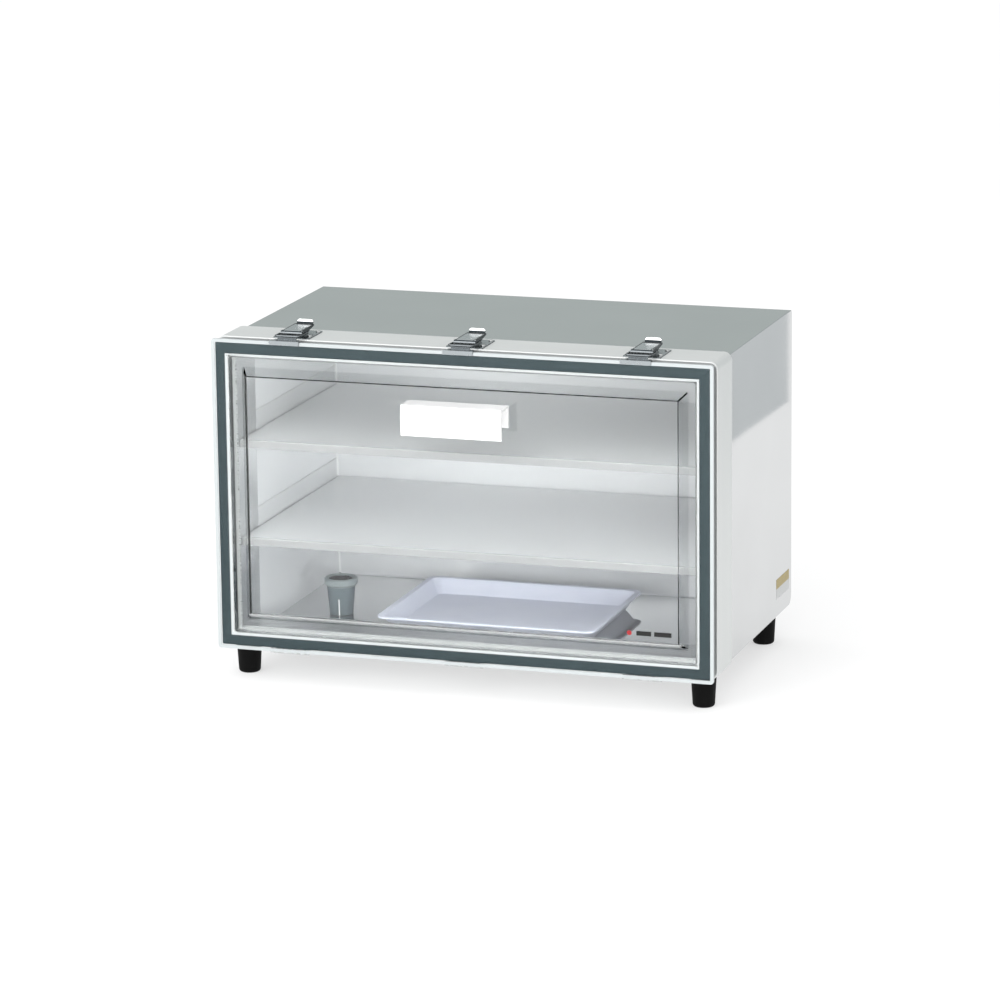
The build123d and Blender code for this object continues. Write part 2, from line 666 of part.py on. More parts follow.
def latch_bail(centre):
    """A wire loop whose bent ends turn in the lever's flanges."""
    pivot_y, pivot_z = latch_point(BAIL_PIVOT)
    bar_y, bar_z = latch_point(BAIL_BAR)
    end = LEVER_HALF - LEVER_SHEET - RIVET_STICKS_IN
    route = [
        (-end, pivot_y, pivot_z),
        (-BAIL_HALF, pivot_y, pivot_z),
        (-BAIL_HALF, bar_y, bar_z),
        (BAIL_HALF, bar_y, bar_z),
        (BAIL_HALF, pivot_y, pivot_z),
        (end, pivot_y, pivot_z),
    ]
    bends = [BAIL_END_BEND, BAIL_BEND, BAIL_BEND, BAIL_END_BEND]
    path = FilletPolyline(*route, radius=bends)
    section = Plane(origin=path @ 0, z_dir=path % 0) * Circle(BAIL_RADIUS)
    return Pos(centre, 0, 0) * sweep(section, path=path)


def latch_keeper(centre):
    """A clip on the door's top edge with an upturned lip for the bail."""
    sheet = KEEPER_SHEET
    y0 = DOOR_FRONT - sheet
    y1 = DOOR_FRONT + DOOR_SHEET
    keeper = block(-KEEPER_HALF, KEEPER_HALF, y0, y1 + sheet, DOOR_TOP, DOOR_TOP + sheet)
    front_low = DOOR_TOP - KEEPER_FRONT_FLANGE
    back_low = DOOR_TOP - KEEPER_BACK_FLANGE
    keeper += block(-KEEPER_HALF, KEEPER_HALF, y0, DOOR_FRONT, front_low, DOOR_TOP)
    keeper += block(-KEEPER_HALF, KEEPER_HALF, y1, y1 + sheet, back_low, DOOR_TOP)
    lip_y = DOOR_FRONT + BAIL_BAR[0]
    keeper += block(-BAIL_HALF, BAIL_HALF, y1, lip_y + sheet / 2, DOOR_TOP, DOOR_TOP + sheet)
    lip_top = DOOR_TOP + KEEPER_LIP_HEIGHT
    keeper += block(-LEVER_HALF, LEVER_HALF, lip_y - sheet / 2, lip_y + sheet / 2, DOOR_TOP, lip_top)
    return Pos(centre, 0, 0) * keeper


def latch_screws():
    """Screws that hold the latch bases to the frame's top rail."""
    seat = DOOR_TOP + LATCH_BASE_SHEET
    screws = [screw_down(x, y, seat, SMALL_SCREW_LENGTH, LATCH_SCREW_RADIUS) for x, y in latch_screw_points()]
    return Compound(children=screws)


def drill_frame(rails):
    """Holes in the frame's rails for the latch, hinge and front foot screws."""
    deep = 2 * FRAME_SHEET
    for x, y in latch_screw_points():
        rails["top"] -= rod_z(x, y, DOOR_TOP - deep, DOOR_TOP + PAST, LATCH_SCREW_RADIUS)
    for x, y in hinge_screw_points():
        rails["bottom"] -= rod_z(x, y, DOOR_BOTTOM - PAST, DOOR_BOTTOM + deep, HINGE_SCREW_RADIUS)
    for x in (-FOOT_FRONT_X, FOOT_FRONT_X):
        rails["bottom"] -= rod_z(x, FOOT_FRONT_Y, DOOR_BOTTOM - PAST, DOOR_BOTTOM + deep, FOOT_SCREW_RADIUS)
    return rails


def foot_places():
    """Name, X, Y and top height of each foot, and the sheet it is screwed to."""
    places = []
    for side, sign in (("left", -1), ("right", 1)):
        places.append((f"front_{side}_foot", sign * FOOT_FRONT_X, FOOT_FRONT_Y, DOOR_BOTTOM, FRAME_SHEET))
        places.append((f"rear_{side}_foot", sign * FOOT_BACK_X, FOOT_BACK_Y, BODY_BOTTOM, BODY_SHEET))
    return places


def foot(x, y, height):
    """A tapered rubber foot with a recess for its screw."""
    body = Pos(x, y, height / 2) * Cone(FOOT_BASE_RADIUS, FOOT_TOP_RADIUS, height)
    body = fillet(body.edges().sort_by(Axis.Z)[0], FOOT_EDGE_ROUND)
    body -= rod_z(x, y, -PAST, FOOT_RECESS_DEPTH, FOOT_RECESS_RADIUS)
    return body - rod_z(x, y, 0, height + PAST, FOOT_SCREW_RADIUS)


def foot_fixings():
    """The feet's screws, and the nuts above the sheet."""
    screws = []
    nuts = []
    for _, x, y, height, sheet in foot_places():
        nut_base = height + sheet
        length = nut_base + FOOT_NUT_HEIGHT + FOOT_SCREW_TAIL - FOOT_RECESS_DEPTH
        screws.append(screw_up(x, y, FOOT_RECESS_DEPTH, length, FOOT_SCREW_RADIUS))
        hexagon = RegularPolygon(FOOT_NUT_FLATS / 2, 6, major_radius=False, rotation=30)
        nut = extrude(Pos(x, y, nut_base) * hexagon, amount=FOOT_NUT_HEIGHT)
        nuts.append(nut - rod_z(x, y, nut_base - PAST, nut_base + 2 * FOOT_NUT_HEIGHT, FOOT_SCREW_RADIUS))
    return Compound(children=screws), Compound(children=nuts)


def tray():
    """A shallow tapered tray with a turned-out rim."""
    def level(z, inset, corner):
        outline = RectangleRounded(TRAY_WIDTH - 2 * inset, TRAY_DEPTH - 2 * inset, corner)
        return Pos(0, 0, z) * outline

    foot_inset = TRAY_TAPER + TRAY_RIM
    outer = loft([level(0, foot_inset, TRAY_CORNER), level(TRAY_HEIGHT, TRAY_RIM, TRAY_CORNER)])
    rim = extrude(level(TRAY_HEIGHT - TRAY_WALL, 0, TRAY_CORNER + PAST), amount=TRAY_WALL)
    slope = TRAY_TAPER / TRAY_HEIGHT
    floor_inset = foot_inset + TRAY_WALL - slope * TRAY_WALL
    mouth_inset = TRAY_RIM + TRAY_WALL - slope * PAST
    inner_corner = TRAY_CORNER - PAST
    floor = level(TRAY_WALL, floor_inset, inner_corner)
    inner = loft([floor, level(TRAY_HEIGHT + PAST, mouth_inset, inner_corner)])
    return Pos(TRAY_CENTRE[0], TRAY_CENTRE[1], FLOOR) * (outer + rim - inner)


def cup_profile(points):
    """A turned solid from (radius, height) points, standing on the cabinet floor."""
    wire = Polyline(*[(r, 0, z) for r, z in points], close=True)
    turned = revolve(make_face(wire), axis=Axis.Z)
    return Pos(CUP_CENTRE[0], CUP_CENTRE[1], FLOOR) * turned


def cup():
    """A tapered cup with a thick band round its mouth and a slit in its side."""
    band = CUP_HEIGHT - CUP_BAND_HEIGHT
    body = cup_profile(
        [
            (0, 0),
            (CUP_BASE_RADIUS - CUP_BASE_ROUND, 0),
            (CUP_BASE_RADIUS, CUP_BASE_ROUND),
            (CUP_NECK_RADIUS, band),
            (CUP_BAND_RADIUS - CUP_BAND_ROUND / 2, band + CUP_BAND_STEP),
            (CUP_BAND_RADIUS, band + CUP_BAND_STEP + CUP_BAND_ROUND),
            (CUP_BAND_RADIUS, CUP_HEIGHT - CUP_LIP),
            (CUP_BAND_RADIUS - CUP_LIP, CUP_HEIGHT),
            (CUP_NECK_RADIUS - CUP_WALL + CUP_MOUTH_FLARE, CUP_HEIGHT),
            (CUP_NECK_RADIUS - CUP_WALL, band),
            (CUP_BASE_RADIUS - CUP_WALL, CUP_WALL),
            (0, CUP_WALL),
        ]
    )
    half = CUP_SLIT_WIDTH / 2
    slit = block(-half, half, -CUP_BAND_RADIUS, -CUP_BASE_RADIUS / 2, -PAST, CUP_SLIT_HEIGHT)
    slit = Pos(CUP_CENTRE[0], CUP_CENTRE[1], FLOOR) * Rot(0, 0, CUP_SLIT_TURN) * slit
    return body - slit


def cup_filling():
    """Drying granules in the cup, above the slit."""
    low = CUP_SLIT_HEIGHT + CUP_GRID_THICKNESS
    high = CUP_HEIGHT - CUP_FILL_DROP
    band = CUP_HEIGHT - CUP_BAND_HEIGHT

    def bore(z):
        run = (z - CUP_WALL) / (band - CUP_WALL)
        return CUP_BASE_RADIUS - CUP_WALL + run * (CUP_NECK_RADIUS - CUP_BASE_RADIUS)

    low_radius = bore(low) - CUP_FILL_GAP
    top_radius = bore(band) - CUP_FILL_GAP
    return cup_profile([(0, low), (low_radius, low), (top_radius, band), (top_radius, high), (0, high)])


def cup_grid():
    """A perforated disc between the slit and the granules."""
    z0 = CUP_SLIT_HEIGHT
    radius = CUP_BASE_RADIUS - CUP_WALL + 0.5 * (CUP_NECK_RADIUS - CUP_BASE_RADIUS)
    z1 = z0 + CUP_GRID_THICKNESS
    disc = cup_profile([(0, z0), (radius, z0), (radius, z1), (0, z1)])
    for ring, count in CUP_GRID_RINGS:
        for index in range(count):
            angle = radians(360.0 * index / count)
            x = CUP_CENTRE[0] + ring * cos(angle)
            y = CUP_CENTRE[1] + ring * sin(angle)
            disc -= rod_z(x, y, FLOOR + z0 - PAST, FLOOR + z1 + PAST, CUP_GRID_HOLE)
    return disc


def rating_label():
    """A thin sticker low on the right side."""
    outer = BODY_HALF + LABEL_THICKNESS
    return block(BODY_HALF, outer, LABEL_FRONT, LABEL_BACK, LABEL_LOW, LABEL_HIGH)


def all_parts():
    """Every node's solid, by name."""
    parts = {}
    for side, rail in drill_frame(front_frame()).items():
        parts[f"frame_{side}_rail"] = rail
    parts.update(body_panels())
    for side, sign in (("left", -1), ("right", 1)):
        parts[f"{side}_side_panel"] = side_panel(sign)
        parts[f"{side}_liner"] = side_liner(sign)
        for level, top in SHELF_TOPS.items():
            parts[f"{level}_{side}_shelf_rail"] = shelf_rail(sign, top)
    parts["back_liner"] = back_liner()
    for level, top in SHELF_TOPS.items():
        parts[f"{level}_shelf"] = shelf(top)
    parts["door_panel"] = door_panel()
    parts["door_gasket"] = door_gasket()
    parts["door_handle"] = door_handle()
    parts["handle_screws"] = handle_screws()
    parts["badge_dot"], parts["badge_bars"] = badge_marks()
    for side, centre in HINGE_CENTRES.items():
        parts[f"{side}_hinge_body_leaf"] = hinge_body_leaf(centre)
        parts[f"{side}_hinge_door_leaf"] = hinge_door_leaf(centre)
    parts["hinge_pins"] = hinge_pins()
    parts["hinge_screws"] = hinge_screws()
    for side, centre in LATCH_CENTRES.items():
        parts[f"{side}_latch_base"] = latch_base(centre)
        parts[f"{side}_latch_rivets"] = latch_rivets(centre)
        parts[f"{side}_latch_lever"] = latch_lever(centre)
        parts[f"{side}_latch_bail"] = latch_bail(centre)
        parts[f"{side}_latch_keeper"] = latch_keeper(centre)
    parts["latch_screws"] = latch_screws()
    for name, x, y, height, _ in foot_places():
        parts[name] = foot(x, y, height)
    parts["foot_screws"], parts["foot_nuts"] = foot_fixings()
    parts["drying_tray"] = tray()
    parts["granule_cup"] = cup()
    parts["cup_grid"] = cup_grid()
    parts["cup_granules"] = cup_filling()
    parts["rating_label"] = rating_label()
    return parts


os.makedirs("parts", exist_ok=True)
for part_name, part_solid in all_parts().items():
    export_step(part_solid, f"parts/{part_name}.step")
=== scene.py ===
"""Desiccator cabinet: polished steel, clear drop-down door, toggle latches, shelves, tray and cup."""

import json
import random
from math import cos, pi, radians, sin

import bmesh
import bpy
from mathutils import Matrix, Vector


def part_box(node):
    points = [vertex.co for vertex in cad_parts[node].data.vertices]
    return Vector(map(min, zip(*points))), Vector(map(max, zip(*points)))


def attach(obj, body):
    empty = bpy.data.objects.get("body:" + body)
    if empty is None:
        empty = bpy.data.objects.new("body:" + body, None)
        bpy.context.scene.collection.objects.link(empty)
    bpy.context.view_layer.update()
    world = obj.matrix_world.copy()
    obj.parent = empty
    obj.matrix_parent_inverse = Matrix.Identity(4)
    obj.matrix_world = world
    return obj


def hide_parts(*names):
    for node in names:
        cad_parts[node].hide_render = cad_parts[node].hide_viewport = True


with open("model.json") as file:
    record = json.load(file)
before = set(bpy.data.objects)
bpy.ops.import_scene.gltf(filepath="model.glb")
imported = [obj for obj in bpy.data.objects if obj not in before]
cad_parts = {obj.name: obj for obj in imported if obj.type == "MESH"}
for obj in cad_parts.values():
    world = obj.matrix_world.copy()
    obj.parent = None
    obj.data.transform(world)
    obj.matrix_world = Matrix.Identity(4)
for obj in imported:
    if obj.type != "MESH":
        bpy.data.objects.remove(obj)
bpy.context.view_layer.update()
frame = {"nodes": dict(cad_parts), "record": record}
nodes = frame["nodes"]

SIDES = ("left", "centre", "right")
MM = 0.001
GOLDEN_ANGLE = pi * (3 - 5**0.5)

# Camera: place in metres, angles in degrees, lens and sensor in millimetres
CAMERA_PLACE = (1.40908, -4.29503, 1.23468)
CAMERA_YAW, CAMERA_PITCH, CAMERA_ROLL = 18.233, 13.346, -0.652
CAMERA_LENS = 170.8
CAMERA_SENSOR = 36.0
CAMERA_REACH = 200.0

# Studio: lamps as name, place, aim, size, power and whether reflections show them
LAMPS = (
    ("key", (-1.2, -3.0, 2.6), (0, 0, 0.15), (2.5, 2.5), 40.0, True),
    ("fill", (-0.4, -3.0, 1.2), (0, 0, 0.2), (3.0, 1.8), 42.0, False),
    ("side_fill", (1.6, -2.4, 0.40), (0, 0, 0.1), (1.6, 1.0), 38.0, False),
)
SUN_POWER = 0.7
SUN_SPREAD = radians(120)
SUN_TURN = (radians(18), radians(-8), 0)
STUDIO_WHITE = (1.0, 1.0, 1.0, 1.0)
STUDIO_WALL = (0.47, 0.51, 0.505, 1.0)
# Each limit fades the studio wall in, from start to end of one direction's component
STUDIO_WALL_LIMITS = (("Y", 0.1, 0.4), ("Z", -0.02, 0.06), ("Z", 0.62, 0.38))
FLOOR_HALF = 40.0
FLOOR_GLOW = 0.5
FLAG_CORNERS = ((0.33, 0.47, 0.172), (0.50, 0.47, 0.043), (0.9, 0.47, 0.6), (0.33, 0.47, 0.6))
FLAG_TONE = (0.8, 0.85, 0.87, 1.0)
FLAG_GLOW = 0.55

# Grain of the sheets, as noise scales along X, Y and Z
ALONG_X = (6.0, 2600.0, 2600.0)
ALONG_Y = (2600.0, 6.0, 2600.0)
SCRATCHES = (1800, 160, 400)

# Bands of the door, in metres in from its outline: milky bands of painted highlight, then where the
# gasket ends
EDGE_GLOW = 3.0 * MM
BEND_GLOW = (14.1 * MM, 15.1 * MM)
WIDE_BEND_GLOW = (14.1 * MM, 16.4 * MM)
FOOT_GLOW = (33.2 * MM, 35.6 * MM)
FOOT_GLOW_INSET = (32 * MM, 33 * MM)
GASKET_END = (13.5 * MM, 14.5 * MM)
GLOW_BLUR = 0.3 * MM
FRONT_SKIN = (0.6 * MM, 1.2 * MM)

# The frame's inward faces begin this far in from the door's outline
FRAME_LINING = (17.5 * MM, 18.5 * MM)
# Depth of the painted shade along the shelves' front edge
SHELF_SHADE_LIP = 0.8 * MM

# Latches: heights over the base plate, and depths and widths of the darker bands of painted shade and
# of the painted highlight on the lever tops
CREST_DROP = (2.3 * MM, 1.9 * MM)
RAISED_HEIGHT = (6.9 * MM, 7.2 * MM)
NECK_AHEAD = (10 * MM, 8 * MM)
CREASE_HEIGHT = (6.2 * MM, 7.0 * MM)
NOSE_HEIGHT = (1.3 * MM, 6.2 * MM)
LEVER_EDGE = (1.3 * MM, 0.1 * MM)
LINE_BLUR = 0.2 * MM

# Gasket section
GASKET_WIDTH = 11 * MM
GASKET_ROUND = 0.9 * MM
GASKET_CORNER = 1.2 * MM
GASKET_RIBS = 2
RIB_RISE = 1.6 * GASKET_ROUND
# The crests stay just inside the seal's CAD solid
RIB_SHARE = 0.98
RIB_STEPS = 16
CORNER_STEPS = 6

# Cup: band below the mouth, loose granules and the lining of the slit
CUP_BAND_DROP = (9 * MM, 7.5 * MM)
BEAD_SEED = 7
BEAD_LAYERS = (1.6 * MM, 3.4 * MM)
BEADS_IN_LAYER = 150
BEAD_WALL_GAP = 1.5 * MM
BEAD_RADII = (0.85, 1.25)
BEAD_LIFTS = (-0.3, 0.7)
BEAD_SQUASH = (0.8, 1.0)
SLIT_TURN = radians(9)
SLIT_HALF = 0.66 * MM
SLIT_DEPTH = 0.8 * MM
# Height over the cup's foot and distance from its axis, at the lining's lower and upper ends
SLIT_ENDS = ((0.3 * MM, 11.4 * MM), (16.9 * MM, 12.8 * MM))

# Welds in the corners of the inner walls
COVE_RADIUS = 1.6 * MM
COVE_STEPS = 6
COVE_END_GAP = 1 * MM
BACK_COVE_END_GAP = 3 * MM

# Sticker: the gold band begins at this share of its height
GOLD_SHARE = 0.52


# ---------------------------------------------------------------- camera, stage and light


def add_camera():
    """A long lens, a little above the cabinet and to its right."""
    yaw, pitch, roll = radians(CAMERA_YAW), radians(CAMERA_PITCH), radians(CAMERA_ROLL)
    forward = Vector((-sin(yaw) * cos(pitch), cos(yaw) * cos(pitch), -sin(pitch)))
    right = Vector((cos(yaw), sin(yaw), 0.0))
    up = right.cross(forward)
    axes = Matrix((right, up, -forward)).transposed() @ Matrix.Rotation(roll, 3, "Z")
    data = bpy.data.cameras.new("camera")
    data.lens = CAMERA_LENS
    data.sensor_width = CAMERA_SENSOR
    data.clip_end = CAMERA_REACH
    camera = bpy.data.objects.new("camera", data)
    camera.matrix_world = Matrix.Translation(CAMERA_PLACE) @ axes.to_4x4()
    bpy.context.collection.objects.link(camera)
    bpy.context.scene.camera = camera


def add_area(name, place, aim, size, power, glossy):
    """A soft lamp that faces a point, and may be left out of reflections."""
    data = bpy.data.lights.new(name, "AREA")
    data.shape = "RECTANGLE"
    data.size, data.size_y = size
    data.energy = power
    lamp = bpy.data.objects.new(name, data)
    lamp.location = place
    lamp.rotation_euler = (Vector(aim) - Vector(place)).to_track_quat("-Z", "Y").to_euler()
    lamp.visible_glossy = glossy
    bpy.context.collection.objects.link(lamp)


def add_world():
    """A bright studio all round, with a dim grey-green wall low behind the cabinet."""
    world = bpy.data.worlds.new("studio")
    bpy.context.scene.world = world
    world.use_nodes = True
    tree = world.node_tree
    coords = tree.nodes.new("ShaderNodeTexCoord")
    split = tree.nodes.new("ShaderNodeSeparateXYZ")
    tree.links.new(coords.outputs["Generated"], split.inputs[0])
    shade = None
    for axis, start, end in STUDIO_WALL_LIMITS:
        ranged = tree.nodes.new("ShaderNodeMapRange")
        ranged.inputs["From Min"].default_value = start
        ranged.inputs["From Max"].default_value = end
        tree.links.new(split.outputs[axis], ranged.inputs["Value"])
        if shade is None:
            shade = ranged.outputs[0]
            continue
        product = tree.nodes.new("ShaderNodeMath")
        product.operation = "MULTIPLY"
        tree.links.new(shade, product.inputs[0])
        tree.links.new(ranged.outputs[0], product.inputs[1])
        shade = product.outputs[0]
    mixer = tree.nodes.new("ShaderNodeMix")
    mixer.data_type = "RGBA"
    mixer.inputs[6].default_value = STUDIO_WHITE
    mixer.inputs[7].default_value = STUDIO_WALL
    tree.links.new(shade, mixer.inputs["Factor"])
    tree.links.new(mixer.outputs[2], tree.nodes["Background"].inputs["Color"])


def add_sun():
    """A very wide overhead lamp, which keeps the floor evenly white."""
    data = bpy.data.lights.new("overhead", "SUN")
    data.energy = SUN_POWER
    data.angle = SUN_SPREAD
    lamp = bpy.data.objects.new("overhead", data)
    lamp.rotation_euler = SUN_TURN
    bpy.context.collection.objects.link(lamp)


def add_floor():
    """A wide pale floor at the height of the feet."""
    mesh = bpy.data.meshes.new("floor")
    corners = [(FLOOR_HALF * x, FLOOR_HALF * y, 0) for x, y in ((-1, -1), (1, -1), (1, 1), (-1, 1))]
    mesh.from_pydata(corners, [], [(0, 1, 2, 3)])
    floor = bpy.data.objects.new("floor", mesh)
    bpy.context.collection.objects.link(floor)
    shader = Shader("studio_floor")
    shader.set(Roughness=0.9)
    grain = shader.noise(shader.coords(), 3.0)
    shader.colour(grain, (0.43, 0.43, 0.43), (0.45, 0.45, 0.45))
    shader.set(Emission_Color=STUDIO_WHITE, Emission_Strength=FLOOR_GLOW, Specular_IOR_Level=0.0)
    floor.data.materials.append(shader.material)


def add_flag():
    """A grey studio flag behind and to the right, seen only as a reflection in the polished side."""
    mesh = bpy.data.meshes.new("flag")
    mesh.from_pydata(FLAG_CORNERS, [], [(0, 1, 2, 3)])
    flag = bpy.data.objects.new("flag", mesh)
    bpy.context.collection.objects.link(flag)
    shader = Shader("studio_flag")
    grain = shader.noise(shader.coords(), 5.0)
    shader.set(Roughness=1.0, Specular_IOR_Level=0.0)
    shader.set(Emission_Color=FLAG_TONE, Emission_Strength=FLAG_GLOW)
    shader.colour(grain, (0.15, 0.15, 0.15), (0.17, 0.17, 0.17))
    flag.data.materials.append(shader.material)
    flag.visible_camera = False
    flag.visible_shadow = False
    flag.visible_diffuse = False


# ---------------------------------------------------------------- material helpers


class Shader:
    """A Principled material, with short calls for the pattern nodes that feed it."""

    def __init__(self, name):
        self.material = bpy.data.materials.new(name)
        self.material.use_nodes = True
        self.tree = self.material.node_tree
        self.bsdf = self.tree.nodes["Principled BSDF"]
        self.output = self.tree.nodes["Material Output"]
        self.normal = None

    def node(self, kind, **values):
        made = self.tree.nodes.new("ShaderNode" + kind)
        for key, value in values.items():
            setattr(made, key, value)
        return made

    def link(self, source, target):
        self.tree.links.new(source, target)

    def set(self, **values):
        for key, value in values.items():
            self.bsdf.inputs[key.replace("_", " ")].default_value = value

    def coords(self, scale=(1, 1, 1)):
        """Object coordinates in metres, stretched by scale."""
        mapping = self.node("Mapping")
        mapping.inputs["Scale"].default_value = scale
        self.link(self.node("TexCoord").outputs["Object"], mapping.inputs["Vector"])
        return mapping.outputs[0]

    def noise(self, vector, scale, detail=3.0):
        texture = self.node("TexNoise")
        texture.inputs["Scale"].default_value = scale
        texture.inputs["Detail"].default_value = detail
        self.link(vector, texture.inputs["Vector"])
        return texture.outputs["Fac"]

    def cells(self, vector, scale):
        texture = self.node("TexVoronoi")
        texture.inputs["Scale"].default_value = scale
        self.link(vector, texture.inputs["Vector"])
        return texture.outputs["Distance"]

    def spread(self, value, low, high, start=0.3, end=0.7):
        """A value from start to end, turned into low to high."""
        ranged = self.node("MapRange")
        for name, number in (("From Min", start), ("From Max", end), ("To Min", low), ("To Max", high)):
            ranged.inputs[name].default_value = number
        self.link(value, ranged.inputs["Value"])
        return ranged.outputs[0]

    def maths(self, operation, first, second):
        made = self.node("Math", operation=operation)
        for socket, value in zip(made.inputs, (first, second)):
            if isinstance(value, (int, float)):
                socket.default_value = value
            else:
                self.link(value, socket)
        return made.outputs[0]

    def mix(self, factor, first, second):
        """A colour between two colours or colour sockets."""
        made = self.node("Mix", data_type="RGBA")
        self.link(factor, made.inputs["Factor"])
        for name, value in ((6, first), (7, second)):
            if isinstance(value, tuple):
                made.inputs[name].default_value = (*value, 1.0)
            else:
                self.link(value, made.inputs[name])
        return made.outputs[2]

    def colour(self, factor, first, second):
        mixed = self.mix(self.spread(factor, 0.0, 1.0), first, second)
        self.link(mixed, self.bsdf.inputs["Base Color"])
        return mixed

    def roughness(self, factor, low, high):
        self.link(self.spread(factor, low, high), self.bsdf.inputs["Roughness"])

    def bump(self, height, strength, distance):
        """Adds a layer of relief on top of those before it."""
        made = self.node("Bump")
        made.inputs["Strength"].default_value = strength
        made.inputs["Distance"].default_value = distance
        self.link(height, made.inputs["Height"])
        if self.normal is not None:
            self.link(self.normal, made.inputs["Normal"])
        self.normal = made.outputs[0]
        self.link(self.normal, self.bsdf.inputs["Normal"])

    def axis(self, name):
        """One object coordinate, in metres."""
        split = self.node("SeparateXYZ")
        self.link(self.node("TexCoord").outputs["Object"], split.inputs[0])
        return split.outputs[name]

    def inset(self, node):
        """How far a point lies inside a node's outline, seen from the front, in metres."""
        left, bottom, right, top = self.gaps(node)
        near = self.maths("MINIMUM", left, bottom)
        return self.maths("MINIMUM", near, self.maths("MINIMUM", right, top))

    def gaps(self, node):
        """Distances in from a node's left, bottom, right and top sides, in metres."""
        low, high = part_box(node)
        across, up = self.axis("X"), self.axis("Z")
        left = self.maths("SUBTRACT", across, low.x)
        bottom = self.maths("SUBTRACT", up, low.z)
        right = self.maths("SUBTRACT", high.x, across)
        top = self.maths("SUBTRACT", high.z, up)
        return left, bottom, right, top

    def ring(self, inset, start, end, blur):
        """One inside the band of insets from start to end, fading over blur, and nought outside."""
        rise = self.spread(inset, 0.0, 1.0, start - blur, start)
        fall = self.spread(inset, 1.0, 0.0, end, end + blur)
        return self.maths("MULTIPLY", rise, fall)

    def lets_lamps_through(self, tint):
        """Rays from lamps pass straight, so that what stands behind is lit."""
        clear = self.node("BsdfTransparent")
        clear.inputs["Color"].default_value = (*tint, 1.0)
        mixer = self.node("MixShader")
        self.link(self.node("LightPath").outputs["Is Shadow Ray"], mixer.inputs[0])
        self.link(self.bsdf.outputs[0], mixer.inputs[1])
        self.link(clear.outputs[0], mixer.inputs[2])
        self.link(mixer.outputs[0], self.output.inputs["Surface"])


# ---------------------------------------------------------------- materials


def sheet_steel(name, colour, grain, low, high, metal=1.0, brushed=0.06, shade_lip=None):
    """Polished sheet with a fine grain and faint smudges, and painted shade darkening a shelf's front
    edge, where Y is below the given limit.
    """
    shader = Shader(name)
    shader.set(Metallic=metal)
    lines = shader.noise(shader.coords(grain), 1.0, 4.0)
    smudges = shader.noise(shader.coords(), 9.0, 3.0)
    shade = tuple(0.96 * value for value in colour)
    toned = shader.colour(smudges, shade, colour)
    if shade_lip is not None:
        # Painted shade: the shelf's front edge is darkened to 0.42 of its colour.
        ahead = shader.spread(shader.axis("Y"), 1.0, 0.0, shade_lip, shade_lip + 0.4 * MM)
        toned = shader.mix(ahead, toned, tuple(0.42 * value for value in colour))
        shader.link(toned, shader.bsdf.inputs["Base Color"])
    lines_part = shader.maths("MULTIPLY", lines, 0.6)
    streaked = shader.maths("ADD", lines_part, shader.maths("MULTIPLY", smudges, 0.4))
    shader.roughness(streaked, low, high)
    shader.bump(shader.noise(shader.coords(), 5.0, 1.0), 0.08, 2 * MM)
    shader.bump(lines, brushed, 0.05 * MM)
    return shader.material


def frame_steel():
    """Satin outer frame, with smoother and slightly paler inward faces."""
    shader = Shader("frame_steel")
    shader.set(Metallic=1.0)
    lines = shader.noise(shader.coords(ALONG_X), 1.0, 4.0)
    smudges = shader.noise(shader.coords(), 9.0, 3.0)
    inner = shader.spread(shader.inset("door_panel"), 0.0, 1.0, *FRAME_LINING)
    satin = shader.mix(smudges, (0.70, 0.715, 0.71), (0.74, 0.755, 0.75))
    shader.link(shader.mix(inner, satin, (0.76, 0.77, 0.775)), shader.bsdf.inputs["Base Color"])
    rough = shader.spread(lines, 0.46, 0.6)
    rough = shader.maths("SUBTRACT", rough, shader.maths("MULTIPLY", inner, 0.24))
    shader.link(rough, shader.bsdf.inputs["Roughness"])
    shader.bump(shader.noise(shader.coords(), 5.0, 1.0), 0.08, 2 * MM)
    shader.bump(lines, 0.06, 0.05 * MM)
    return shader.material


def weld_highlight_steel():
    """Brushed weld, pale and nearly matt; its near-white is a painted highlight down the rear inner
    corners.
    """
    shader = Shader("weld_highlight_steel")
    marks = shader.noise(shader.coords((400, 400, 60)), 1.0, 3.0)
    shader.set(Metallic=0.0)
    shader.colour(marks, (0.94, 0.95, 0.95), (0.99, 0.99, 0.99))
    shader.roughness(marks, 0.5, 0.65)
    shader.bump(marks, 0.15, 0.05 * MM)
    return shader.material


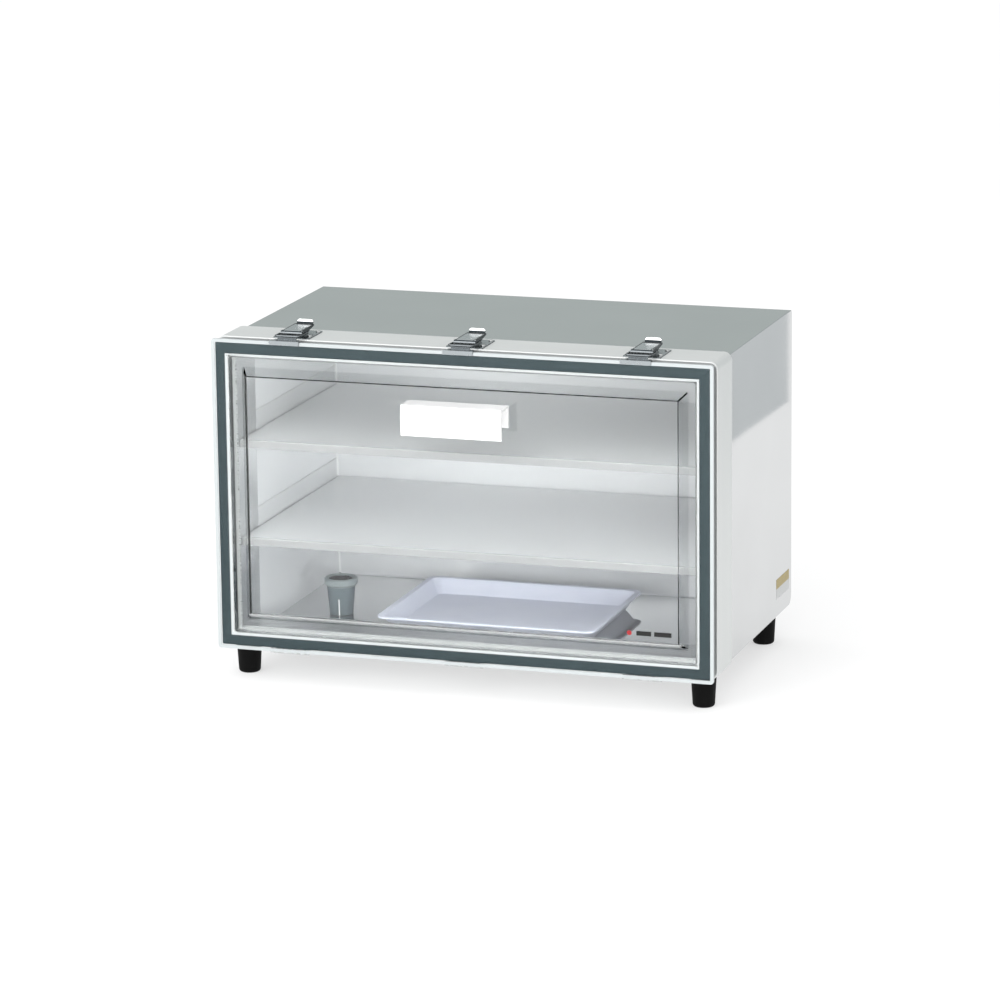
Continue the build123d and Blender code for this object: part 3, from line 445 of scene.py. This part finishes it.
def latch_steel():
    """Painted highlights make the tips and raised plates bright, and painted shade darkens the flanks,
    the faces that turn down, the hollows and the lines between parts.
    """
    shader = Shader("latch_steel")
    shader.set(Metallic=1.0)
    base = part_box("centre_latch_base")[0].z
    lever_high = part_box("centre_latch_lever")[1]
    marks = shader.noise(shader.coords(), 260.0, 4.0)
    height = shader.axis("Z")
    plain = shader.mix(marks, (0.34, 0.37, 0.385), (0.42, 0.45, 0.465))
    # Painted highlight: the top of each lever is near-white.
    crest_highlight = shader.spread(height, 0.0, 1.0, *(lever_high.z - drop for drop in CREST_DROP))
    raised = shader.spread(height, 0.0, 1.0, *(base + rise for rise in RAISED_HEIGHT))
    # Painted shade: a darker band behind the lever's top, in the creases and along each lever's sides.
    behind = shader.spread(shader.axis("Y"), 0.0, 1.0, *(lever_high.y - ahead for ahead in NECK_AHEAD))
    neck_shade = shader.maths("MULTIPLY", raised, behind)
    neck_shade = shader.maths("MULTIPLY", neck_shade, shader.maths("SUBTRACT", 1.0, crest_highlight))
    crease_shade = shader.ring(height, *(base + rise for rise in CREASE_HEIGHT), LINE_BLUR)
    across = shader.axis("X")
    for side in SIDES:
        low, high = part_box(f"{side}_latch_lever")
        middle, half = (low.x + high.x) / 2, (high.x - low.x) / 2
        offset = shader.maths("ABSOLUTE", shader.maths("SUBTRACT", across, middle), 0.0)
        edge = shader.ring(offset, half - LEVER_EDGE[0], half + LEVER_EDGE[1], LINE_BLUR)
        crease_shade = shader.maths("MAXIMUM", crease_shade, shader.maths("MULTIPLY", edge, raised))
    neck_shade = shader.maths("MAXIMUM", neck_shade, crease_shade)
    # Painted highlight: raised parts are paler than the base plate.
    pale = shader.mix(marks, (0.50, 0.53, 0.545), (0.58, 0.61, 0.625))
    plain = shader.mix(raised, plain, pale)
    # Painted shade: a darker band low on the lever's front.
    nose_shade = shader.ring(height, *(base + rise for rise in NOSE_HEIGHT), 0.3 * MM)
    plain = shader.mix(nose_shade, plain, (0.20, 0.215, 0.225))
    # Painted shade on faces that turn sideways or downward.
    normal = shader.node("SeparateXYZ")
    shader.link(shader.node("TexCoord").outputs["Normal"], normal.inputs[0])
    flank_shade = shader.spread(shader.maths("ABSOLUTE", normal.outputs["X"], 0.0), 0.0, 1.0, 0.5, 0.8)
    under_shade = shader.spread(normal.outputs["Z"], 1.0, 0.0, -0.7, -0.3)
    painted_shade = shader.maths("MAXIMUM", shader.maths("MAXIMUM", neck_shade, flank_shade), under_shade)
    toned = shader.mix(painted_shade, plain, (0.035, 0.045, 0.05))
    shader.link(shader.mix(crest_highlight, toned, (0.93, 0.94, 0.94)), shader.bsdf.inputs["Base Color"])
    shader.roughness(marks, 0.15, 0.3)
    shader.bump(shader.noise(shader.coords(SCRATCHES), 1.0, 2.0), 0.12, 0.03 * MM)
    return shader.material


def pressed_steel(name, colour, low, high):
    """Bright pressed parts, with small scratches and handling marks."""
    shader = Shader(name)
    shader.set(Metallic=1.0)
    marks = shader.noise(shader.coords(), 260.0, 4.0)
    scratches = shader.noise(shader.coords(SCRATCHES), 1.0, 2.0)
    shader.colour(marks, tuple(0.82 * value for value in colour), colour)
    shader.roughness(marks, low, high)
    shader.bump(scratches, 0.12, 0.03 * MM)
    return shader.material


def clear_sheet():
    """Clear formed plastic, bright at its cut edges, bend and lower step with milky bands of painted
    highlight, and less mirror-like over the gasket.
    """
    shader = Shader("clear_plastic")
    shader.set(IOR=1.49)
    haze = shader.noise(shader.coords(), 14.0, 3.0)
    inset = shader.inset("door_panel")
    left, bottom, right, top = shader.gaps("door_panel")
    near = shader.maths("MINIMUM", left, bottom)
    far = shader.maths("MINIMUM", right, top)
    lower_left = shader.spread(shader.maths("SUBTRACT", far, near), 0.0, 1.0, 0.0, 1 * MM)
    # Painted highlight: milky bands at the cut edge and along the bend, the bend band wider on the
    # lower and left sides.
    rim = shader.ring(inset, -1.0, EDGE_GLOW, GLOW_BLUR)
    wide = shader.maths("MULTIPLY", shader.ring(inset, *WIDE_BEND_GLOW, GLOW_BLUR), lower_left)
    bend = shader.maths("MAXIMUM", shader.ring(inset, *BEND_GLOW, GLOW_BLUR), wide)
    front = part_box("door_panel")[0].y
    skin = shader.spread(shader.axis("Y"), 1.0, 0.0, *(front + depth for depth in FRONT_SKIN))
    bend = shader.maths("MULTIPLY", bend, skin)
    # Painted highlight: a fainter milky line along the lower step.
    foot = shader.maths("MULTIPLY", shader.ring(bottom, *FOOT_GLOW, 0.5 * MM), 0.45)
    foot = shader.maths("MULTIPLY", foot, shader.spread(inset, 0.0, 1.0, *FOOT_GLOW_INSET))
    painted_highlight = shader.maths("MAXIMUM", shader.maths("MAXIMUM", rim, bend), foot)
    clear = shader.mix(shader.spread(haze, 0.0, 1.0), (0.975, 0.988, 0.986), (0.99, 0.998, 0.996))
    # The painted highlight makes the plastic grey, milky and rough in its bands.
    shader.link(shader.mix(painted_highlight, clear, (0.45, 0.475, 0.48)), shader.bsdf.inputs["Base Color"])
    shader.link(shader.spread(painted_highlight, 1.0, 0.12, 0.0, 1.0), shader.bsdf.inputs["Transmission Weight"])
    blur = shader.maths("ADD", shader.spread(haze, 0.0, 0.02), shader.maths("MULTIPLY", painted_highlight, 0.3))
    shader.link(blur, shader.bsdf.inputs["Roughness"])
    shine = shader.spread(inset, 0.0, 1.0, *GASKET_END)
    tint = shader.mix(shine, (0.45, 0.6, 0.65), (1.0, 1.0, 1.0))
    shader.link(tint, shader.bsdf.inputs["Specular Tint"])
    shader.bump(shader.noise(shader.coords(), 6.0, 1.0), 0.05, 1 * MM)
    shader.lets_lamps_through((0.95, 0.975, 0.97))
    return shader.material


def gasket_rubber():
    shader = Shader("gasket_rubber")
    patches = shader.noise(shader.coords(), 30.0, 4.0)
    shader.set(Specular_IOR_Level=0.15)
    shader.colour(patches, (0.013, 0.020, 0.023), (0.016, 0.025, 0.028))
    shader.roughness(patches, 0.45, 0.6)
    shader.bump(shader.noise(shader.coords(), 1500.0, 2.0), 0.15, 0.05 * MM)
    return shader.material


def foot_rubber():
    shader = Shader("foot_rubber")
    patches = shader.noise(shader.coords(), 80.0, 4.0)
    shader.set(Specular_IOR_Level=0.1)
    shader.colour(patches, (0.001, 0.001, 0.001), (0.003, 0.003, 0.003))
    shader.roughness(patches, 0.5, 0.7)
    shader.bump(shader.noise(shader.coords(), 1100.0, 3.0), 0.2, 0.1 * MM)
    return shader.material


def handle_plastic():
    shader = Shader("handle_plastic")
    patches = shader.noise(shader.coords(), 40.0, 3.0)
    shader.set(Coat_Weight=0.25)
    shader.colour(patches, (0.80, 0.80, 0.80), (0.84, 0.84, 0.84))
    shader.roughness(patches, 0.28, 0.4)
    shader.bump(shader.noise(shader.coords(), 900.0, 2.0), 0.05, 0.05 * MM)
    return shader.material


def tray_plastic():
    """Pale lavender, thinly moulded."""
    shader = Shader("tray_plastic")
    shader.set(IOR=1.45)
    patches = shader.noise(shader.coords(), 25.0, 3.0)
    shader.colour(patches, (0.82, 0.84, 0.97), (0.87, 0.89, 1.0))
    shader.roughness(patches, 0.42, 0.52)
    shader.bump(shader.noise(shader.coords(), 300.0, 2.0), 0.04, 0.05 * MM)
    return shader.material


def cup_plastic():
    """Moulded grey, a little paler on the band round the mouth."""
    shader = Shader("cup_plastic")
    patches = shader.noise(shader.coords(), 120.0, 4.0)
    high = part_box("granule_cup")[1]
    band = shader.spread(shader.axis("Z"), 0.0, 1.0, *(high.z - drop for drop in CUP_BAND_DROP))
    body = shader.mix(patches, (0.115, 0.15, 0.17), (0.14, 0.175, 0.195))
    mixed = shader.mix(band, body, (0.27, 0.31, 0.32))
    shader.link(mixed, shader.bsdf.inputs["Base Color"])
    shader.roughness(patches, 0.42, 0.58)
    shader.bump(shader.noise(shader.coords(), 1400.0, 2.0), 0.12, 0.05 * MM)
    return shader.material


def granules():
    shader = Shader("drying_granules")
    patches = shader.noise(shader.coords(), 500.0, 3.0)
    shader.colour(patches, (0.003, 0.005, 0.006), (0.014, 0.018, 0.02))
    shader.roughness(patches, 0.35, 0.65)
    shader.bump(shader.cells(shader.coords(), 450.0), 0.6, 0.5 * MM)
    return shader.material


def printed(name, colour):
    """Screen-printed ink, thin and slightly uneven."""
    shader = Shader(name)
    patches = shader.noise(shader.coords(), 700.0, 3.0)
    shader.colour(patches, tuple(0.8 * value for value in colour), colour)
    shader.roughness(patches, 0.35, 0.5)
    shader.bump(patches, 0.08, 0.02 * MM)
    return shader.material


def label_paper():
    """A foil sticker: gold above, pale below, with fine creases."""
    shader = Shader("label_paper")
    low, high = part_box("rating_label")
    split = low.z + GOLD_SHARE * (high.z - low.z)
    band = shader.spread(shader.axis("Z"), 0.0, 1.0, split - 0.3 * MM, split + 0.3 * MM)
    fibres = shader.noise(shader.coords(), 600.0, 3.0)
    gold = shader.mix(fibres, (0.24, 0.18, 0.05), (0.34, 0.27, 0.09))
    pale = shader.mix(fibres, (0.40, 0.41, 0.41), (0.48, 0.49, 0.49))
    shader.link(shader.mix(band, pale, gold), shader.bsdf.inputs["Base Color"])
    shader.roughness(fibres, 0.3, 0.5)
    shader.bump(shader.noise(shader.coords(), 60.0, 3.0), 0.15, 0.1 * MM)
    return shader.material


def make_materials():
    """One material for each of the record's slots."""
    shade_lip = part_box("upper_shelf")[0].y + SHELF_SHADE_LIP
    return {
        "frame_steel": frame_steel(),
        "body_steel": sheet_steel("body_steel", (0.62, 0.63, 0.635), ALONG_Y, 0.03, 0.07),
        "top_steel": sheet_steel("top_steel", (0.69, 0.71, 0.705), ALONG_X, 0.10, 0.2),
        "liner_steel": sheet_steel("liner_steel", (0.90, 0.905, 0.92), ALONG_X, 0.3, 0.4, 0.25, 0.01),
        "shelf_steel": sheet_steel(
            "shelf_steel", (0.80, 0.805, 0.815), ALONG_X, 0.28, 0.31, 0.3, 0.004, shade_lip
        ),
        "latch_steel": latch_steel(),
        "hinge_steel": pressed_steel("hinge_steel", (0.66, 0.68, 0.68), 0.2, 0.35),
        "fastener_steel": pressed_steel("fastener_steel", (0.6, 0.61, 0.61), 0.18, 0.32),
        "clear_plastic": clear_sheet(),
        "gasket_rubber": gasket_rubber(),
        "handle_plastic": handle_plastic(),
        "badge_red": printed("badge_red", (0.32, 0.012, 0.016)),
        "badge_black": printed("badge_black", (0.004, 0.004, 0.004)),
        "foot_rubber": foot_rubber(),
        "tray_plastic": tray_plastic(),
        "cup_plastic": cup_plastic(),
        "drying_granules": granules(),
        "label_paper": label_paper(),
    }


def dress_nodes(materials):
    """Gives every CAD node the material of its slot."""
    for part in frame["record"]["subparts"]:
        node = nodes[part["node"]]
        for index in range(max(1, len(node.material_slots))):
            if not node.material_slots:
                node.data.materials.append(None)
            node.material_slots[index].link = "OBJECT"
            node.material_slots[index].material = materials[part["material_slot"]]


# ---------------------------------------------------------------- mesh helpers


def piece_from(mesh_builder, name, body, slot, materials, smooth=True):
    """Turns a bmesh into a named piece that rides on a body."""
    mesh = bpy.data.meshes.new(name)
    bmesh.ops.recalc_face_normals(mesh_builder, faces=mesh_builder.faces)
    mesh_builder.to_mesh(mesh)
    mesh_builder.free()
    for polygon in mesh.polygons:
        polygon.use_smooth = smooth
    made = bpy.data.objects.new(name, mesh)
    bpy.context.collection.objects.link(made)
    made.data.materials.append(materials[slot])
    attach(made, body)
    return made


def swept_ring(build, low, high, radius, steps, section):
    """Sweeps (inward, y) points round a rectangle in XZ, mitred inside its round corners."""
    corners = ((1, 1, 0.0), (-1, 1, 0.5 * pi), (-1, -1, pi), (1, -1, 1.5 * pi))
    rows = []
    for side, end, start in corners:
        cx = (high.x - radius) if side > 0 else (low.x + radius)
        cz = (high.z - radius) if end > 0 else (low.z + radius)
        for step in range(steps + 1):
            angle = start + 0.5 * pi * step / steps
            row = []
            for inward, y in section:
                arc = max(radius - inward, 0.0)
                past = max(inward - radius, 0.0)
                x = cx + arc * cos(angle) - past * side
                z = cz + arc * sin(angle) - past * end
                row.append(build.verts.new((x, y, z)))
            rows.append(row)
    for row, after in zip(rows, rows[1:] + rows[:1]):
        for index in range(len(section)):
            follow = (index + 1) % len(section)
            build.faces.new((row[index], row[follow], after[follow], after[index]))
    bmesh.ops.dissolve_degenerate(build, dist=1e-6, edges=build.edges[:])


def bar_between(build, first, second):
    """Adds a straight closed bar between two matching loops of points."""
    rows = [[build.verts.new(point) for point in loop] for loop in (first, second)]
    for row in rows:
        build.faces.new(row)
    for index in range(len(first)):
        follow = (index + 1) % len(first)
        build.faces.new((rows[0][index], rows[0][follow], rows[1][follow], rows[1][index]))


# ---------------------------------------------------------------- pieces


def gasket_seal(materials):
    """The door's seal: a flat face to the door, rounded sides and two ribs that meet the frame."""
    low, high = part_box("door_gasket")
    width = GASKET_WIDTH
    edge = GASKET_ROUND
    depth = high.y - low.y
    section = [(edge, 0.0), (0.3 * edge, 0.3 * edge), (0.0, edge), (0.0, depth - 2 * edge)]
    for step in range(RIB_STEPS + 1):
        across = step / RIB_STEPS
        wave = 0.5 - 0.5 * cos(2 * pi * GASKET_RIBS * across)
        section.append((width * across, depth - RIB_RISE + RIB_RISE * wave * RIB_SHARE))
    section += [(width, edge), (width - 0.3 * edge, 0.3 * edge), (width - edge, 0.0)]
    section = [(inward, low.y + y) for inward, y in section]
    build = bmesh.new()
    swept_ring(build, low, high, GASKET_CORNER, CORNER_STEPS, section)
    seal = piece_from(build, "gasket_seal", "door", "gasket_rubber", materials)
    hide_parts("door_gasket")


def bead_bed(materials):
    """Loose round granules on top of the cup's filling."""
    draw = random.Random(BEAD_SEED)
    low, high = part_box("cup_granules")
    centre = (low + high) / 2
    reach = 0.5 * (high.x - low.x) - BEAD_WALL_GAP
    build = bmesh.new()
    for layer in BEAD_LAYERS:
        for index in range(BEADS_IN_LAYER):
            ring = reach * ((index + 0.5) / BEADS_IN_LAYER) ** 0.5
            angle = index * GOLDEN_ANGLE
            radius = draw.uniform(*BEAD_RADII) * MM
            lift = layer + draw.uniform(*BEAD_LIFTS) * MM
            place = (centre.x + ring * cos(angle), centre.y + ring * sin(angle), high.z + lift)
            shape = Matrix.Translation(place) @ Matrix.Rotation(draw.uniform(0, pi), 4, (1, 1, 0))
            squash = (draw.uniform(*BEAD_SQUASH), draw.uniform(*BEAD_SQUASH))
            shape = shape @ Matrix.Diagonal((1.0, *squash, 1.0))
            bmesh.ops.create_icosphere(build, subdivisions=2, radius=radius, matrix=shape)
    piece_from(build, "granule_beads", "cup", "drying_granules", materials)


def slit_lining(materials):
    """A pale strip that lines the slit in the cup's side, and leans out with it."""
    low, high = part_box("granule_cup")
    centre = (low + high) / 2
    turn = Matrix.Rotation(SLIT_TURN, 4, "Z")
    corners = ((-SLIT_HALF, 0.0), (SLIT_HALF, 0.0), (SLIT_HALF, SLIT_DEPTH), (-SLIT_HALF, SLIT_DEPTH))
    ends = []
    for z, radius in SLIT_ENDS:
        places = [turn @ Vector((x, depth - radius, 0.0)) for x, depth in corners]
        ends.append([(centre.x + place.x, centre.y + place.y, low.z + z) for place in places])
    build = bmesh.new()
    bar_between(build, *ends)
    piece_from(build, "cup_slit_lining", "cup", "handle_plastic", materials, smooth=False)


def cove_arc():
    """Points on a hollow quarter arc in a corner, as distances out from each of its two walls."""
    angles = [0.5 * pi * step / COVE_STEPS for step in range(COVE_STEPS + 1)]
    return [(COVE_RADIUS * (1 - cos(angle)), COVE_RADIUS * (1 - sin(angle))) for angle in angles]


def wall_coves(materials):
    """A ground weld down each rear corner of the inner walls, near-white as a painted highlight, and
    one at the back wall's foot.
    """
    weld = weld_highlight_steel()
    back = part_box("back_liner")[0].y
    low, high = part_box("left_liner")
    right_low, right_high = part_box("right_liner")
    for side, outward, wall in (("left", -1, high.x), ("right", 1, right_low.x)):
        section = [(wall, back)]
        for from_wall, from_back in cove_arc():
            section.append((wall - outward * from_wall, back - from_back))
        heights = (high.z - COVE_END_GAP, low.z + COVE_END_GAP)
        build = bmesh.new()
        bar_between(build, *([(x, y, z) for x, y in section] for z in heights))
        name = f"{side}_wall_cove"
        cove = piece_from(build, name, "cabinet", "liner_steel", materials, smooth=False)
        # Painted highlight: the corner coves take the near-white weld colour.
        cove.data.materials[0] = weld
    section = [(back, low.z)]
    for from_floor, from_back in cove_arc():
        section.append((back - from_back, low.z + from_floor))
    ends = (low.x + BACK_COVE_END_GAP, right_high.x - BACK_COVE_END_GAP)
    build = bmesh.new()
    bar_between(build, *([(x, y, z) for y, z in section] for x in ends))
    piece_from(build, "back_wall_cove", "cabinet", "liner_steel", materials, smooth=False)


def main():
    add_camera()
    add_world()
    add_floor()
    add_flag()
    add_sun()
    for lamp in LAMPS:
        add_area(*lamp)
    materials = make_materials()
    dress_nodes(materials)
    gasket_seal(materials)
    bead_bed(materials)
    slit_lining(materials)
    wall_coves(materials)
    bpy.context.scene.view_settings.view_transform = "Standard"


main()
